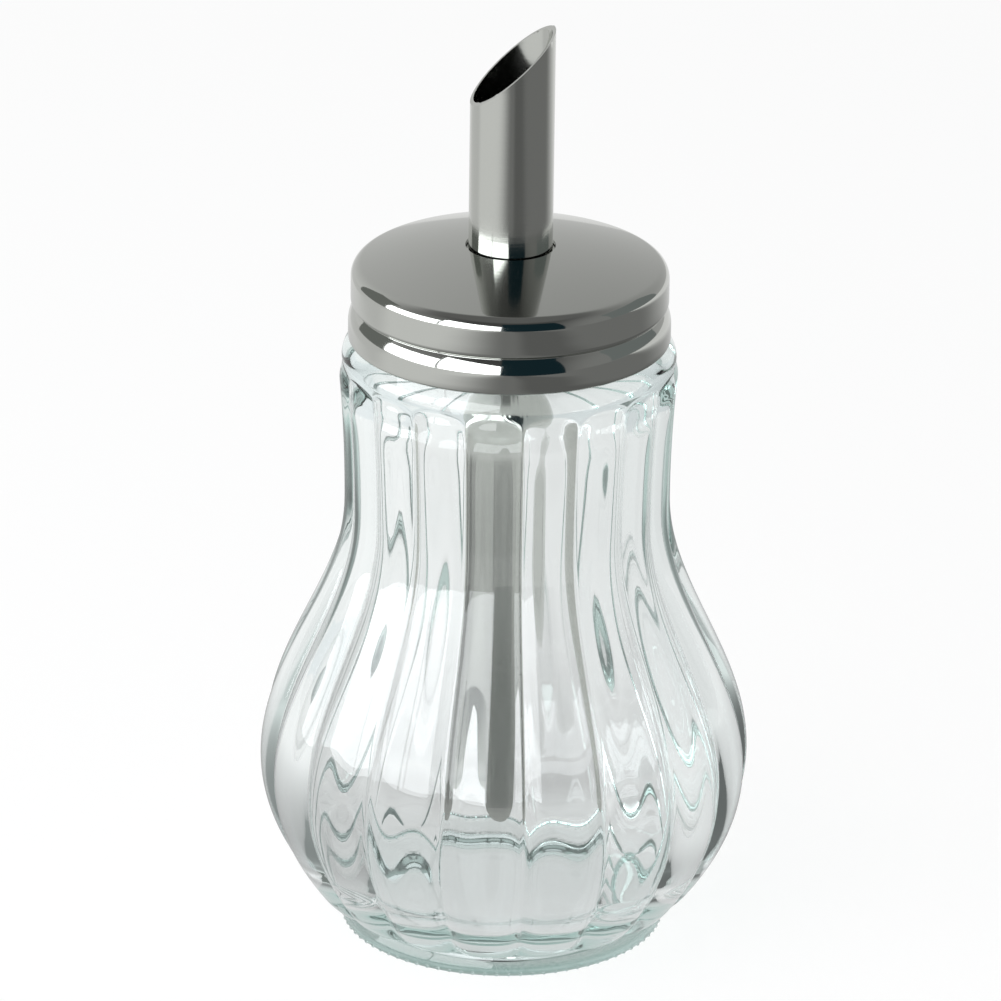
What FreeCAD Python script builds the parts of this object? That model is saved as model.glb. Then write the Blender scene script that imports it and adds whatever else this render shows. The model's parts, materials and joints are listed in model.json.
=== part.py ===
"""Sugar dispenser: a fluted blown-glass jar, a pressed steel screw lid and a dosing tube.

Millimetres. The origin is at the centre of the jar's foot, +Z is up, and the spout opens towards -X.
The jar's outline has four stretches, each with its own law: a parabola from the foot to the belly,
a cosine from the belly to the neck, a parabola that flares to the shoulder, and an elliptic lobe top.
"""
import FreeCAD, Part
import math
import os
import re
import Sketcher

doc = FreeCAD.newDocument("SugarDispenser")

# Driving dimensions: each is written once here and lives in the document's sheet.
SIZES = [
    ("belly_radius", 38.3, "largest radius of the jar, on the crest of a lobe"),
    ("belly_height", 28.0, "height of the largest radius"),
    ("flank_height", 43.0, "from the belly up to the smallest radius"),
    ("neck_radius", 25.3, "smallest crest radius"),
    ("flare_height", 20.0, "from the smallest radius up to the shoulder"),
    ("shoulder_radius", 26.2, "crest radius at the shoulder, where the lobes start to close in"),
    ("shoulder_rise", 7.0, "height of the plain shoulder's curl under the lid"),
    ("lobe_close", 3.4, "how far the crest of a lobe closes in at its arched top"),
    ("lobe_rise", 4.6, "height of the arched top above the shoulder"),
    ("arch_low", 0.7, "how far below the shoulder the grooves start to run out"),
    ("arch_high", 3.3, "height above the shoulder where the plain glass meets the crests"),
    ("arch_set", 0.35, "how far in from the shoulder radius the plain glass is there"),
    ("flute_depth", 1.35, "depth of the groove between two lobes, at the belly"),
    ("neck_flute_depth", 0.95, "the same at the neck and shoulder"),
    ("glass_wall", 2.9, "thickness of the glass under the crest of a lobe"),
    ("floor_height", 6.0, "height of the inside floor"),
    ("floor_radius", 18.0, "radius of the flat inside floor"),
    ("floor_curve", 8.0, "height of the curve from the floor to the wall"),
    ("foot_radius", 25.4, "largest radius of the foot ring"),
    ("foot_height", 4.0, "height of the foot ring"),
    ("foot_round", 1.3, "rounding of the foot ring's lower edge"),
    ("foot_waist", 0.9, "depth of the waist between the foot ring and the lobes"),
    ("base_overhang", 2.2, "how far the lobes' lower ends stand out past the foot ring"),
    ("standing_width", 4.6, "width of the flat ring that the jar stands on"),
    ("punt_depth", 1.6, "depth of the hollow under the foot"),
    ("mouth_round", 0.8, "rounding of the glass mouth's outer edge"),
    ("lid_radius", 24.9, "outer radius of the lid's lower band"),
    ("lid_height", 15.6, "height of the lid from its lower edge to the top of the dome"),
    ("lid_lift", 6.2, "height of the lid's lower edge above the shoulder"),
    ("dome_arc", 82.0, "radius of the dome"),
    ("lid_corner", 2.2, "rounding between the dome and the lid's wall"),
    ("sheet_metal", 0.5, "thickness of the lid's steel"),
    ("hem", 1.0, "thickness of the turned-in lower edge"),
    ("hem_height", 1.7, "height of the turned-in lower edge"),
    ("band_height", 2.65, "height of the lid's lower band, up to the groove"),
    ("bead_lower", 4.7, "radius of the shoulder below the groove"),
    ("bead_groove", 0.4, "radius of the groove's bottom"),
    ("bead_upper", 1.0, "radius of the edge above the groove"),
    ("bead_lean", 37.0, "lean of the groove's lower side, in degrees"),
    ("bead_overhang", 62.0, "lean of the groove's upper side, in degrees"),
    ("thread_room", 2.1, "room between the lid's wall and the glass neck"),
    ("tube_radius", 6.5, "outer radius of the dosing tube"),
    ("tube_wall", 0.5, "thickness of the tube"),
    ("tube_clearance", 11.8, "height of the tube's lower end above the inside floor"),
    ("spout_height", 34.8, "height of the spout's tip above the dome"),
    ("spout_slant", 11.8, "height of the slanted mouth, from its low side to the tip"),
    ("hole_gap", 0.45, "gap between the tube and the lid's hole"),
    ("notch_width", 10.8, "width of the notch at the tube's lower end"),
    ("notch_height", 25.2, "height of the notch"),
    ("flare_rise", 3.8, "height of the rounded corners at the notch's mouth"),
    ("notch_flare", 0.85, "how far those corners open to each side"),
    ("collar_width", 4.0, "width of the collar that holds the tube under the lid"),
    ("collar_height", 1.8, "height of the collar's rim"),
    ("seat_gap", 0.15, "gap of the collar and the glass mouth to the lid"),
]

# Places and fits that follow from them.
DERIVED = {
    "base_radius": "{foot_radius} + {base_overhang}",
    "neck_level": "{belly_height} + {flank_height}",
    "shoulder_level": "{neck_level} + {flare_height}",
    "curve_top": "{floor_height} + {floor_curve}",
    "lid_bottom": "{shoulder_level} + {lid_lift}",
    "dome_centre": "{lid_bottom} + {lid_height} - {dome_arc}",
    "neck_outside": "{lid_radius} - {sheet_metal} - {thread_room}",
    "neck_bore": "{neck_outside} - {glass_wall}",
    "bore_level": "{shoulder_level} + {shoulder_rise}",
    "under_dome": "{dome_arc} - {sheet_metal} - {seat_gap}",
    "mouth_level": "{dome_centre} + sqrt({under_dome} ^ 2 - {neck_outside} ^ 2)",
    "tube_bore": "{tube_radius} - {tube_wall}",
    "tube_bottom": "{floor_height} + {tube_clearance}",
    "spout_high": "{dome_centre} + {dome_arc} + {spout_height}",
    "spout_low": "{spout_high} - {spout_slant}",
    "spout_slope": "{spout_slant} / (2 * {tube_radius})",
    "lid_hole": "{tube_radius} + {hole_gap}",
    "collar_radius": "{tube_radius} + {collar_width}",
    "collar_inside": "{tube_radius} - {tube_wall} / 2",
    "notch_half": "{notch_width} / 2",
}

FLUTES = 16                 # lobes round the jar
LOWER_STATIONS = 5          # sections from the foot to the belly
FLANK_STATIONS = 7          # sections from the belly to the neck
FLARE_STATIONS = 3          # sections from the neck to the shoulder
TOP_ANGLES = (25, 45, 62)   # sections over a lobe's arched top, in degrees of its ellipse
FLOOR_STEPS = (0.0, 0.04, 0.16, 0.36, 0.64)     # sections of the floor's curve, as parts of its height
CURL_RATIO = 1.02           # radius of the shoulder's curl, as a share of the chord that it spans
OVERRUN = 1.0               # how far a cutter or an overlap runs past the face it meets

sheet = doc.addObject("Spreadsheet::Sheet", "Sizes")
for row, (alias, value, note) in enumerate(SIZES, start=1):
    sheet.set(f"A{row}", note)
    sheet.set(f"B{row}", str(value))
    sheet.setAlias(f"B{row}", alias)
doc.recompute()


def size(text):
    """Expression in which each name in braces becomes a cell of the sheet or its derived formula."""
    def expand(match):
        name = match.group(1)
        return size(DERIVED[name]) if name in DERIVED else "Sizes." + name
    return "(" + re.sub(r"\{(\w+)\}", expand, text) + ")"


def number(expression):
    """Present value of an expression."""
    value = sheet.evalExpression(expression)
    return float(getattr(value, "Value", value))


# ---------------------------------------------------------------- the jar's outline
def lower_stretch(height):
    """Radius and slope below the belly, at a height."""
    part = f"(({{belly_height}} - {height}) / ({{belly_height}} - {{foot_height}}))"
    drop = "({belly_radius} - {base_radius})"
    radius = size(f"{{belly_radius}} - {drop} * {part} ^ 2")
    slope = size(f"2 * {drop} * {part} / ({{belly_height}} - {{foot_height}})")
    return radius, slope


def flank(part):
    """Height, radius and slope at a part of the way from the belly to the neck."""
    turn = f"(180 deg * {part})"
    height = size(f"{{belly_height}} + {{flank_height}} * {part}")
    radius = size(f"{{neck_radius}} + ({{belly_radius}} - {{neck_radius}}) * (1 + cos{turn}) / 2")
    slope = size(f"({{belly_radius}} - {{neck_radius}}) * sin{turn} * pi / (2 * {{flank_height}})")
    return height, radius, slope


def flare(part):
    """Height and radius at a part of the way from the neck to the shoulder."""
    height = size(f"{{neck_level}} + {{flare_height}} * {part}")
    radius = size(f"{{neck_radius}} + ({{shoulder_radius}} - {{neck_radius}}) * {part} ^ 2")
    return height, radius


def inside(radius, slope):
    """Radius of the inner wall where the outer one has this radius and slope."""
    return size(f"{radius} - {{glass_wall}} * sqrt(1 + {slope} ^ 2)")


def lobe_stations():
    """Height, crest radius and groove depth of every section of the lobes, from the foot up."""
    belly_depth = size("{flute_depth}")
    neck_depth = size("{neck_flute_depth}")
    stations = []
    for step in range(LOWER_STATIONS):
        height = size(f"{{foot_height}} + ({{belly_height}} - {{foot_height}}) * {step} / {LOWER_STATIONS}")
        stations.append((height, lower_stretch(height)[0], belly_depth))
    for step in range(FLANK_STATIONS):
        height, radius, _ = flank(f"({step} / {FLANK_STATIONS})")
        depth = size(f"{belly_depth} + ({neck_depth} - {belly_depth}) * {step} / {FLANK_STATIONS}")
        stations.append((height, radius, depth))
    for step in range(FLARE_STATIONS + 1):
        height, radius = flare(f"({step} / {FLARE_STATIONS})")
        stations.append((height, radius, neck_depth))
    for angle in TOP_ANGLES:
        height = size(f"{{shoulder_level}} + {{lobe_rise}} * sin({angle} deg)")
        radius = size(f"{{shoulder_radius}} - {{lobe_close}} * (1 - cos({angle} deg))")
        stations.append((height, radius, neck_depth))
    return stations


def cavity_stations():
    """Height and radius of every section of the inside, from the floor to past the mouth."""
    wall_foot = inside(*lower_stretch(size("{curve_top}")))
    bore = size("{neck_bore}")
    stations = []
    for part in FLOOR_STEPS:
        height = size(f"{{floor_height}} + {{floor_curve}} * {part}")
        radius = size(f"{{floor_radius}} + ({wall_foot} - {{floor_radius}}) * sqrt(1 - (1 - {part}) ^ 2)")
        stations.append((height, radius))
    for step in range(3):
        height = size(f"{{curve_top}} + ({{belly_height}} - {{curve_top}}) * {step} / 3")
        stations.append((height, inside(*lower_stretch(height))))
    for step in range(FLANK_STATIONS + 1):
        height, radius, slope = flank(f"({step} / {FLANK_STATIONS})")
        stations.append((height, inside(radius, slope)))
    height, radius = flare("(2 / 3)")
    stations.append((height, inside(radius, "0")))
    stations.append((size("{shoulder_level} + {shoulder_rise} / 4"),
                     size(f"{bore} + ({{shoulder_radius}} - {{neck_outside}}) * 0.62")))
    stations.append((size("{bore_level}"), bore))
    stations.append((size("{mouth_level} - {mouth_round}"), bore))
    stations.append((size(f"{{mouth_level}} + {OVERRUN}"), bore))
    return stations


# ---------------------------------------------------------------- sketches and features
def origin_plane(body, role):
    for feature in body.Origin.OriginFeatures:
        if feature.Role == role:
            return feature
    raise ValueError(f"{body.Label} has no {role}")


def new_body(label):
    body = doc.addObject("PartDesign::Body", label)
    body.Label = label
    body.Placement = FreeCAD.Placement()
    return body


def new_sketch(body, name, plane, height=None):
    sketch = body.newObject("Sketcher::SketchObject", name)
    sketch.AttachmentSupport = (origin_plane(body, plane), [""])
    sketch.MapMode = "FlatFace"
    if height:
        sketch.setExpression("AttachmentOffset.Base.z", height)
    return sketch


def hold(sketch, kind, target, expression):
    """Add a constraint whose value follows an expression."""
    index = sketch.addConstraint(Sketcher.Constraint(kind, *target, number(expression)))
    sketch.setExpression(f"Constraints[{index}]", expression)


def pin(sketch, geometry, end, point):
    """Hold one end of a line or arc at a point of two expressions; 0 puts it on the axis."""
    for kind, axis, expression in (("DistanceX", -2, point[0]), ("DistanceY", -1, point[1])):
        if expression == "0":
            sketch.addConstraint(Sketcher.Constraint("PointOnObject", geometry, end, axis))
        else:
            hold(sketch, kind, (-1, 1, geometry, end), expression)


def arc_between(start, finish, radius, side):
    """Arc of less than half a turn; its centre lies left of the way to the finish where side is 1."""
    chord = finish - start
    across = FreeCAD.Vector(-chord.y, chord.x, 0).normalize() * side
    centre = (start + finish) / 2 + across * math.sqrt(radius ** 2 - (chord.Length / 2) ** 2)
    return Part.Arc(start, centre - across * radius, finish)


def outline(sketch, points, bends):
    """Closed outline through points; bends gives radius and side of each arc, by its first point."""
    places = [FreeCAD.Vector(*(number(value) for value in point), 0) for point in points]
    for index, place in enumerate(places):
        after = (index + 1) % len(places)
        if index in bends:
            radius, side = bends[index]
            geometry = sketch.addGeometry(arc_between(place, places[after], number(radius), side))
            hold(sketch, "Radius", (geometry,), radius)
        else:
            geometry = sketch.addGeometry(Part.LineSegment(place, places[after]))
        forward = sketch.getPoint(geometry, 1).distanceToPoint(place) < Part.Precision.confusion()
        pin(sketch, geometry, 1 if forward else 2, points[index])
        pin(sketch, geometry, 2 if forward else 1, points[after])


def circle_sketch(body, name, height, radius):
    """Circle round the Z axis at a height."""
    sketch = new_sketch(body, name, "XY_Plane", height)
    circle = sketch.addGeometry(Part.Circle(FreeCAD.Vector(), FreeCAD.Vector(0, 0, 1), number(radius)))
    sketch.addConstraint(Sketcher.Constraint("Coincident", circle, 3, -1, 1))
    hold(sketch, "Radius", (circle,), radius)
    return sketch


def revolve(body, name, points, bends):
    """Turn a closed outline, given as radius and height, round the Z axis."""
    sketch = new_sketch(body, name + "Outline", "XZ_Plane")
    outline(sketch, points, bends)
    turned = body.newObject("PartDesign::Revolution", name)
    turned.Profile = sketch
    turned.ReferenceAxis = (sketch, ["V_Axis"])
    turned.Angle = 360
    doc.recompute()


def loft(body, name, kind, sketches):
    lofted = body.newObject(kind, name)
    lofted.Profile = sketches[0]
    lofted.Sections = sketches[1:]
    doc.recompute()


def pocket(body, name, sketch, both_sides):
    """Cut a sketch through all that lies behind it, or on both of its sides."""
    before = body.Shape.Volume
    cut = body.newObject("PartDesign::Pocket", name)
    cut.Profile = sketch
    cut.Type = "ThroughAll"
    cut.Midplane = both_sides
    doc.recompute()
    if not body.Shape.Volume < before:
        raise ValueError(f"{name} cuts nothing")


# ---------------------------------------------------------------- the jar
def lobe_section(body, name, height, crest, depth):
    """One level of the fluted wall: an arc for each lobe, meeting its neighbours at the grooves."""
    turn = 360 / FLUTES
    groove = f"({crest} - {depth})"
    bulge = f"({crest} - {groove} * cos({turn / 2} deg))"
    radius = f"((({groove} * sin({turn / 2} deg)) ^ 2 + {bulge} ^ 2) / (2 * {bulge}))"
    points = []
    for lobe in range(FLUTES):
        angle = turn * lobe
        x = "0" if angle % 180 == 90 else f"({groove} * cos({angle} deg))"
        y = "0" if angle % 180 == 0 else f"({groove} * sin({angle} deg))"
        points.append((x, y))
    sketch = new_sketch(body, name, "XY_Plane", height)
    outline(sketch, points, {lobe: (radius, 1) for lobe in range(FLUTES)})
    return sketch


def make_jar():
    """Blown jar: lobes over a foot ring, closing in to a plain neck, hollow down to a thick floor."""
    body = new_body("jar")
    sections = [lobe_section(body, f"LobeSection{index:02}", *station)
                for index, station in enumerate(lobe_stations())]
    loft(body, "Lobes", "PartDesign::AdditiveLoft", sections)

    standing_edge = "({foot_radius} - {foot_round})"
    punt_edge = f"({standing_edge} - {{standing_width}})"
    waist = size("{foot_radius} - {foot_waist}")
    foot_top = size(f"{{foot_height}} + {OVERRUN}")
    revolve(body, "Foot", [
        ("0", size("{punt_depth}")),
        (size(f"{punt_edge} * 0.6"), size("{punt_depth} * 0.9")),
        (size(punt_edge), "0"),
        (size(standing_edge), "0"),
        (size("{foot_radius}"), size("{foot_round}")),
        (size("{foot_radius}"), size("{foot_height} * 0.55")),
        (waist, size("{foot_height} * 0.9")),
        (waist, foot_top),
        ("0", foot_top),
    ], {3: (size("{foot_round}"), 1)})

    run_out = size("{shoulder_level} - {arch_low}")
    outside = size("{neck_outside}")
    curl_in = "({shoulder_radius} - {arch_set} - {neck_outside})"
    curl_up = "({shoulder_rise} - {arch_high})"
    curl = size(f"{CURL_RATIO} * sqrt({curl_in} ^ 2 + {curl_up} ^ 2)")
    revolve(body, "Neck", [
        ("0", run_out),
        (size("{shoulder_radius} - {neck_flute_depth} - {arch_set}"), run_out),
        (size("{shoulder_radius} - {arch_set}"), size("{shoulder_level} + {arch_high}")),
        (outside, size("{bore_level}")),
        (outside, size("{mouth_level} - {mouth_round}")),
        (size("{neck_outside} - {mouth_round}"), size("{mouth_level}")),
        ("0", size("{mouth_level}")),
    ], {2: (curl, 1), 4: (size("{mouth_round}"), 1)})

    circles = [circle_sketch(body, f"CavitySection{index:02}", *station)
               for index, station in enumerate(cavity_stations())]
    loft(body, "Cavity", "PartDesign::SubtractiveLoft", circles)
    return body


# ---------------------------------------------------------------- the lid
def make_lid():
    """Screw lid pressed from sheet: dome with a hole, rounded corner, rolled groove and hemmed edge."""
    body = new_body("lid")
    lean, overhang = "({bead_lean} * 1 deg)", "({bead_overhang} * 1 deg)"
    low_radius = f"({{lid_radius}} - {{bead_lower}} * (1 - cos{lean}))"
    high_radius = f"({low_radius} + {{bead_groove}} * (cos{lean} - cos{overhang}))"
    upper_radius = f"({high_radius} + {{bead_upper}} * (1 - cos{overhang}))"
    band_top = "({lid_bottom} + {band_height})"
    groove_low = f"({band_top} + {{bead_lower}} * sin{lean})"
    groove_high = f"({groove_low} + {{bead_groove}} * (sin{lean} + sin{overhang}))"
    wall_start = f"({groove_high} + {{bead_upper}} * sin{overhang})"
    corner_centre = f"({upper_radius} - {{lid_corner}})"
    wall_end = f"({{dome_centre}} + sqrt(({{dome_arc}} - {{lid_corner}}) ^ 2 - {corner_centre} ^ 2))"

    def dome_edge(inset):
        """Where the dome meets the corner, this far inside the sheet's outer face."""
        share = f"(({{dome_arc}} - {inset}) / ({{dome_arc}} - {{lid_corner}}))"
        return size(f"{corner_centre} * {share}"), size(f"{{dome_centre}} + ({wall_end} - {{dome_centre}}) * {share}")

    def hole_edge(inset):
        return size("{lid_hole}"), size(f"{{dome_centre}} + sqrt(({{dome_arc}} - {inset}) ^ 2 - {{lid_hole}} ^ 2)")

    def groove_foot(inset):
        """Where the shoulder runs into the groove's bottom, this far inside the outer face."""
        return size(f"{low_radius} - {inset} * cos{lean}"), size(f"{groove_low} - {inset} * sin{lean}")

    def groove_head(inset):
        """Where the groove's bottom runs into the edge above it, this far inside the outer face."""
        return size(f"{high_radius} - {inset} * cos{overhang}"), size(f"{groove_high} + {inset} * sin{overhang}")

    outer_band = size("{lid_radius}")
    inner_band = size("{lid_radius} - {sheet_metal}")
    inner_wall = size(f"{upper_radius} - {{sheet_metal}}")
    hem_inside = size("{lid_radius} - {hem}")
    hem_round = size("{lid_bottom} + {hem} / 2")
    hem_top = size("{lid_bottom} + {hem_height}")
    revolve(body, "Shell", [
        (outer_band, hem_round),
        (outer_band, size(band_top)),
        groove_foot("0"),
        groove_head("0"),
        (size(upper_radius), size(wall_start)),
        (size(upper_radius), size(wall_end)),
        dome_edge("0"),
        hole_edge("0"),
        hole_edge("{sheet_metal}"),
        dome_edge("{sheet_metal}"),
        (inner_wall, size(wall_end)),
        (inner_wall, size(wall_start)),
        groove_head("{sheet_metal}"),
        groove_foot("{sheet_metal}"),
        (inner_band, size(band_top)),
        (inner_band, hem_top),
        (hem_inside, hem_top),
        (hem_inside, hem_round),
    ], {
        1: (size("{bead_lower}"), 1),
        2: (size("{bead_groove}"), -1),
        3: (size("{bead_upper}"), 1),
        5: (size("{lid_corner}"), 1),
        6: (size("{dome_arc}"), 1),
        8: (size("{dome_arc} - {sheet_metal}"), -1),
        9: (size("{lid_corner} - {sheet_metal}"), -1),
        11: (size("{bead_upper} - {sheet_metal}"), -1),
        12: (size("{bead_groove} + {sheet_metal}"), 1),
        13: (size("{bead_lower} - {sheet_metal}"), -1),
        17: (size("{hem} * 0.52"), 1),
    })
    return body


# ---------------------------------------------------------------- the dosing tube
def make_tube():
    """One steel tube: slanted mouth above the lid, notch at the lower end, collar under the dome."""
    body = new_body("tube")
    revolve(body, "Pipe", [
        (size("{tube_bore}"), size("{tube_bottom}")),
        (size("{tube_radius}"), size("{tube_bottom}")),
        (size("{tube_radius}"), size("{spout_high}")),
        (size("{tube_bore}"), size("{spout_high}")),
    ], {})

    def under_dome(radius, drop="0"):
        """Point on the dome's underside, less the seat's gap, at a radius."""
        return size(radius), size(f"{{dome_centre}} + sqrt({{under_dome}} ^ 2 - {radius} ^ 2) - {drop}")

    rim_low = under_dome("{collar_radius}", "{collar_height}")
    revolve(body, "Collar", [
        (size("{collar_inside}"), rim_low[1]),
        rim_low,
        under_dome("{collar_radius}"),
        under_dome("{collar_inside}"),
    ], {2: (size("{under_dome}"), 1)})

    reach = f"({{tube_radius}} + {OVERRUN})"
    mouth = new_sketch(body, "MouthOutline", "XZ_Plane")
    outline(mouth, [
        (size(f"0 - {reach}"), size(f"{{spout_low}} - {OVERRUN} * {{spout_slope}}")),
        (size(reach), size(f"{{spout_high}} + {OVERRUN} * {{spout_slope}}")),
        (size(f"0 - {reach}"), size(f"{{spout_high}} + {OVERRUN} * {{spout_slope}}")),
    ], {})
    pocket(body, "Mouth", mouth, True)

    half = size("{notch_half}")
    open_half = size("{notch_half} + {notch_flare}")
    flare_top = size("{tube_bottom} + {flare_rise}")
    arch = size("{tube_bottom} + {notch_height} - {notch_half}")
    flare_arc = size("({flare_rise} ^ 2 + {notch_flare} ^ 2) / (2 * {notch_flare})")
    below = size(f"{{tube_bottom}} - {OVERRUN}")
    notch = new_sketch(body, "NotchOutline", "YZ_Plane")
    outline(notch, [
        (f"(0 - {open_half})", below),
        (open_half, below),
        (open_half, size("{tube_bottom}")),
        (half, flare_top),
        (half, arch),
        ("0", size("{tube_bottom} + {notch_height}")),
        (f"(0 - {half})", arch),
        (f"(0 - {half})", flare_top),
        (f"(0 - {open_half})", size("{tube_bottom}")),
    ], {2: (flare_arc, -1), 4: (half, 1), 5: (half, 1), 7: (flare_arc, -1)})
    pocket(body, "Notch", notch, False)
    return body


def main():
    bodies = [make_jar(), make_lid(), make_tube()]
    for item in doc.Objects:
        if "Invalid" in item.State or "Error" in item.State:
            raise ValueError(f"{item.Label}: {item.State}")
    os.makedirs("parts", exist_ok=True)
    for body in bodies:
        shape = body.Shape
        if shape.isNull() or not shape.isValid() or len(shape.Solids) != 1:
            raise ValueError(f"{body.Label} isn't one valid solid")
        shape.exportStep(f"parts/{body.Label}.step")
        print(f"{body.Label}: {shape.Volume / 1000:.2f} cm3")


main()
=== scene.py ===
"""Sugar dispenser: fluted glass jar, pressed steel screw lid and steel dosing tube, in a pale studio.

Laid out as an add-on and run as a script. Metres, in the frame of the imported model: the jar stands on
z = 0, its axis is Z and the spout opens towards -X.
"""
import json
import math

import bpy
from bpy.props import FloatProperty, FloatVectorProperty, IntProperty, PointerProperty
from mathutils import Matrix, Vector

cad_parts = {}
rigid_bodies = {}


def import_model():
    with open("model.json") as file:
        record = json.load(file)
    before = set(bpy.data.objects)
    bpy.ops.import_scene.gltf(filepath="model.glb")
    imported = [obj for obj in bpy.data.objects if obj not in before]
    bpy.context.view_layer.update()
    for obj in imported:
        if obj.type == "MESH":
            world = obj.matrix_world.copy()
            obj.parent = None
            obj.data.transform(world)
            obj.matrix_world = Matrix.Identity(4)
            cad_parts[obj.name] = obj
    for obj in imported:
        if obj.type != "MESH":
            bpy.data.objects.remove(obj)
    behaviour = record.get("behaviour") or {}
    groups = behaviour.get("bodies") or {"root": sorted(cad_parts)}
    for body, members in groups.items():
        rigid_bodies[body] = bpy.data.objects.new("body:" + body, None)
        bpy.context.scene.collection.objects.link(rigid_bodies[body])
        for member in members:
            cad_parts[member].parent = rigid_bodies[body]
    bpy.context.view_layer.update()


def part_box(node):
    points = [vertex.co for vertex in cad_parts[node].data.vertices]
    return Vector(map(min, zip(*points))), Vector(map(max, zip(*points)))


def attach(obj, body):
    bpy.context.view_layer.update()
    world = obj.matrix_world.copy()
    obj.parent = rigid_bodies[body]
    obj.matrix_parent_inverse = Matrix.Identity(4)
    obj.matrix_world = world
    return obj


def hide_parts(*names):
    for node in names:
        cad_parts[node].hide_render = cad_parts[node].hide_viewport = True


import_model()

bl_info = {
    "name": "Sugar dispenser",
    "version": (1, 0, 0),
    "blender": (4, 5, 0),
    "location": "View3D > Sidebar > Dispenser",
    "description": "Builds a fluted glass sugar dispenser with a steel lid and dosing tube",
    "category": "Object",
}

MM = 0.001
FLUTES = 18                             # lobes round the jar
LID_LOW, LID_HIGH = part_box("lid")
LID_BOTTOM = LID_LOW.z
TUBE_LOW, TUBE_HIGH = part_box("tube")
JAR_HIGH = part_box("jar")[1]


def linear(code):
    """Linear RGBA of an sRGB hex value."""
    shares = [int(code[i:i + 2], 16) / 255 for i in (1, 3, 5)]
    return tuple(c / 12.92 if c <= 0.04045 else ((c + 0.055) / 1.055) ** 2.4 for c in shares) + (1.0,)


def length(label, value, about):
    return FloatProperty(name=label, description=about, default=value, unit="LENGTH", precision=5)


def angle(label, degrees, about):
    return FloatProperty(name=label, description=about, default=math.radians(degrees), subtype="ANGLE")


def colour(label, code, about):
    return FloatVectorProperty(name=label, description=about, default=linear(code), size=4, subtype="COLOR")


# ---------------------------------------------------------------- sizes and colours
class JarSizes(bpy.types.PropertyGroup):
    """Sizes of the glass jar."""
    belly_radius: length("Belly radius", 38.2 * MM, "Largest radius, on the crest of a lobe")
    belly_height: length("Belly height", 28.0 * MM, "Height of the largest radius")
    flank_height: length("Flank height", 43.0 * MM, "From the belly up to the smallest radius")
    neck_radius: length("Neck radius", 25.3 * MM, "Smallest crest radius")
    flare_height: length("Flare height", 20.0 * MM, "From the smallest radius up to the shoulder")
    shoulder_radius: length("Shoulder radius", 26.2 * MM, "Crest radius where the lobes start to close in")
    lobe_close: length("Lobe closing", 3.4 * MM, "How far a lobe's crest closes in at its arched top")
    lobe_rise: length("Lobe rise", 4.6 * MM, "Height of the arched top above the shoulder")
    base_radius: length("Base radius", 27.6 * MM, "Crest radius at the lobes' lower ends")
    base_round: length("Base rounding", 1.6 * MM, "How far the lobes' lower ends round in")
    flute_turn: angle("Flute turn", 8.2, "Turn of the grooves round Z")
    flute_depth: length("Flute depth", 1.35 * MM, "Depth of the groove between two lobes at the belly")
    neck_flute_depth: length("Neck flute depth", 0.95 * MM, "The same at the neck and shoulder")
    wall: length("Wall", 2.9 * MM, "Thickness of the glass under a crest")
    inside_wave: length("Inside wave", 0.36 * MM, "How far the inside follows the lobes at the belly")
    neck_inside_wave: length("Neck inside wave", 0.24 * MM, "The same at the neck")
    floor_height: length("Floor height", 6.0 * MM, "Height of the inside floor")
    floor_radius: length("Floor radius", 18.0 * MM, "Radius of the flat inside floor")
    floor_curve: length("Floor curve", 8.0 * MM, "Height of the curve from the floor to the wall")
    foot_radius: length("Foot radius", 25.4 * MM, "Largest radius of the foot ring")
    foot_height: length("Foot height", 4.0 * MM, "Height of the foot ring")
    foot_round: length("Foot rounding", 1.3 * MM, "Rounding of the foot ring's lower edge")
    foot_waist: length("Foot waist", 0.9 * MM, "Depth of the waist between the foot ring and the lobes")
    standing_width: length("Standing ring", 4.6 * MM, "Width of the ring that the jar stands on")
    punt_depth: length("Punt depth", 1.6 * MM, "Depth of the hollow under the foot")
    neck_outside: length("Neck finish radius", 22.3 * MM, "Outer radius of the plain neck under the lid")
    mouth_round: length("Mouth rounding", 0.8 * MM, "Rounding of the glass mouth's edges")
    stipple_radius: length("Stipple radius", 0.36 * MM, "Radius of the small beads round the foot")
    stipples: IntProperty(name="Stipples", description="Beads round the foot", default=84)


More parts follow.
